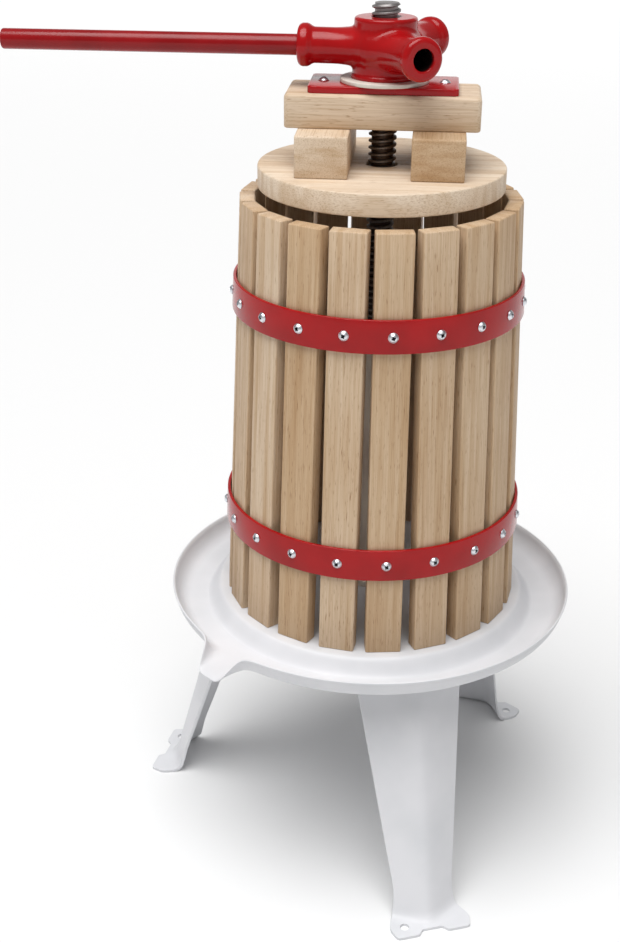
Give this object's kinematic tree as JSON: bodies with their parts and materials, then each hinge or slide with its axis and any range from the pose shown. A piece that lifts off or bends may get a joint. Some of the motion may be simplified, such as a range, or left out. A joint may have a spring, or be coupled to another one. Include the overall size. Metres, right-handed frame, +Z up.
{
  "type": "fruit press",
  "caption": "Hand fruit press: slatted wooden basket with red hoops on a white spouted tray and tripod, with a central screw, wooden press blocks and a turning hub with a lever",
  "frame": {"origin": "on the screw's axis at floor level, at the centre of the circle through the three feet's anchor holes", "axes": "+Z up along the screw, +X along the beam away from the lever, +Y to the back of the picture's view"},
  "size_m": [0.5441, 0.4379, 0.8275],
  "materials": {
    "white_enamel": "white enamel on pressed steel sheet",
    "red_paint": "red gloss paint on steel",
    "red_cast_iron": "red gloss paint on cast iron",
    "beech": "planed bare hardwood",
    "zinc": "bright zinc plate",
    "screw_steel": "turned steel with a dark oiled surface",
    "washer_plastic": "off-white plastic"
  },
  "bodies": {
    "base": {"tray": "white_enamel", "leg_front": "white_enamel", "leg_back": "white_enamel", "leg_left": "white_enamel", "leg_bolts": "zinc", "leg_nuts": "zinc", "screw": "screw_steel", "screw_washer": "zinc", "screw_nut": "zinc"},
    "basket": {"stave_01": "beech", "stave_02": "beech", "stave_03": "beech", "stave_04": "beech", "stave_05": "beech", "stave_06": "beech", "stave_07": "beech", "stave_08": "beech", "stave_09": "beech", "stave_10": "beech", "stave_11": "beech", "stave_12": "beech", "stave_13": "beech", "stave_14": "beech", "stave_15": "beech", "stave_16": "beech", "stave_17": "beech", "stave_18": "beech", "stave_19": "beech", "stave_20": "beech", "hoop_lower": "red_paint", "hoop_upper": "red_paint", "hoop_screws_lower": "zinc", "hoop_screws_upper": "zinc"},
    "press_head": {"plate_front": "beech", "plate_back": "beech", "block_left": "beech", "block_right": "beech", "beam": "beech", "bearing_plate": "red_paint", "bearing_screws": "zinc", "thrust_washer": "washer_plastic"},
    "hub": {"hub": "red_cast_iron"},
    "lever": {"lever": "red_paint"}
  },
  "joints": [
    {"name": "basket_lift", "type": "slide", "parent": "base", "child": "basket", "axis": [0, 0, 1], "range_m": [0, 0.03]},
    {"name": "press_travel", "type": "slide", "parent": "base", "child": "press_head", "axis": [0, 0, -1], "range_m": [-0.01, 0.08]},
    {"name": "hub_turn", "type": "hinge", "parent": "press_head", "child": "hub", "pos_m": [0, 0, 0.79055], "axis": [0, 0, 1], "range_deg": [-4801, 601]},
    {"name": "lever_pull", "type": "slide", "parent": "hub", "child": "lever", "axis": [-1, 0, 0], "range_m": [0, 0.05]}
  ],
  "couplings": [
    {"joint": "hub_turn", "follows": "press_travel", "rad_per_m": -1047.2}
  ]
}
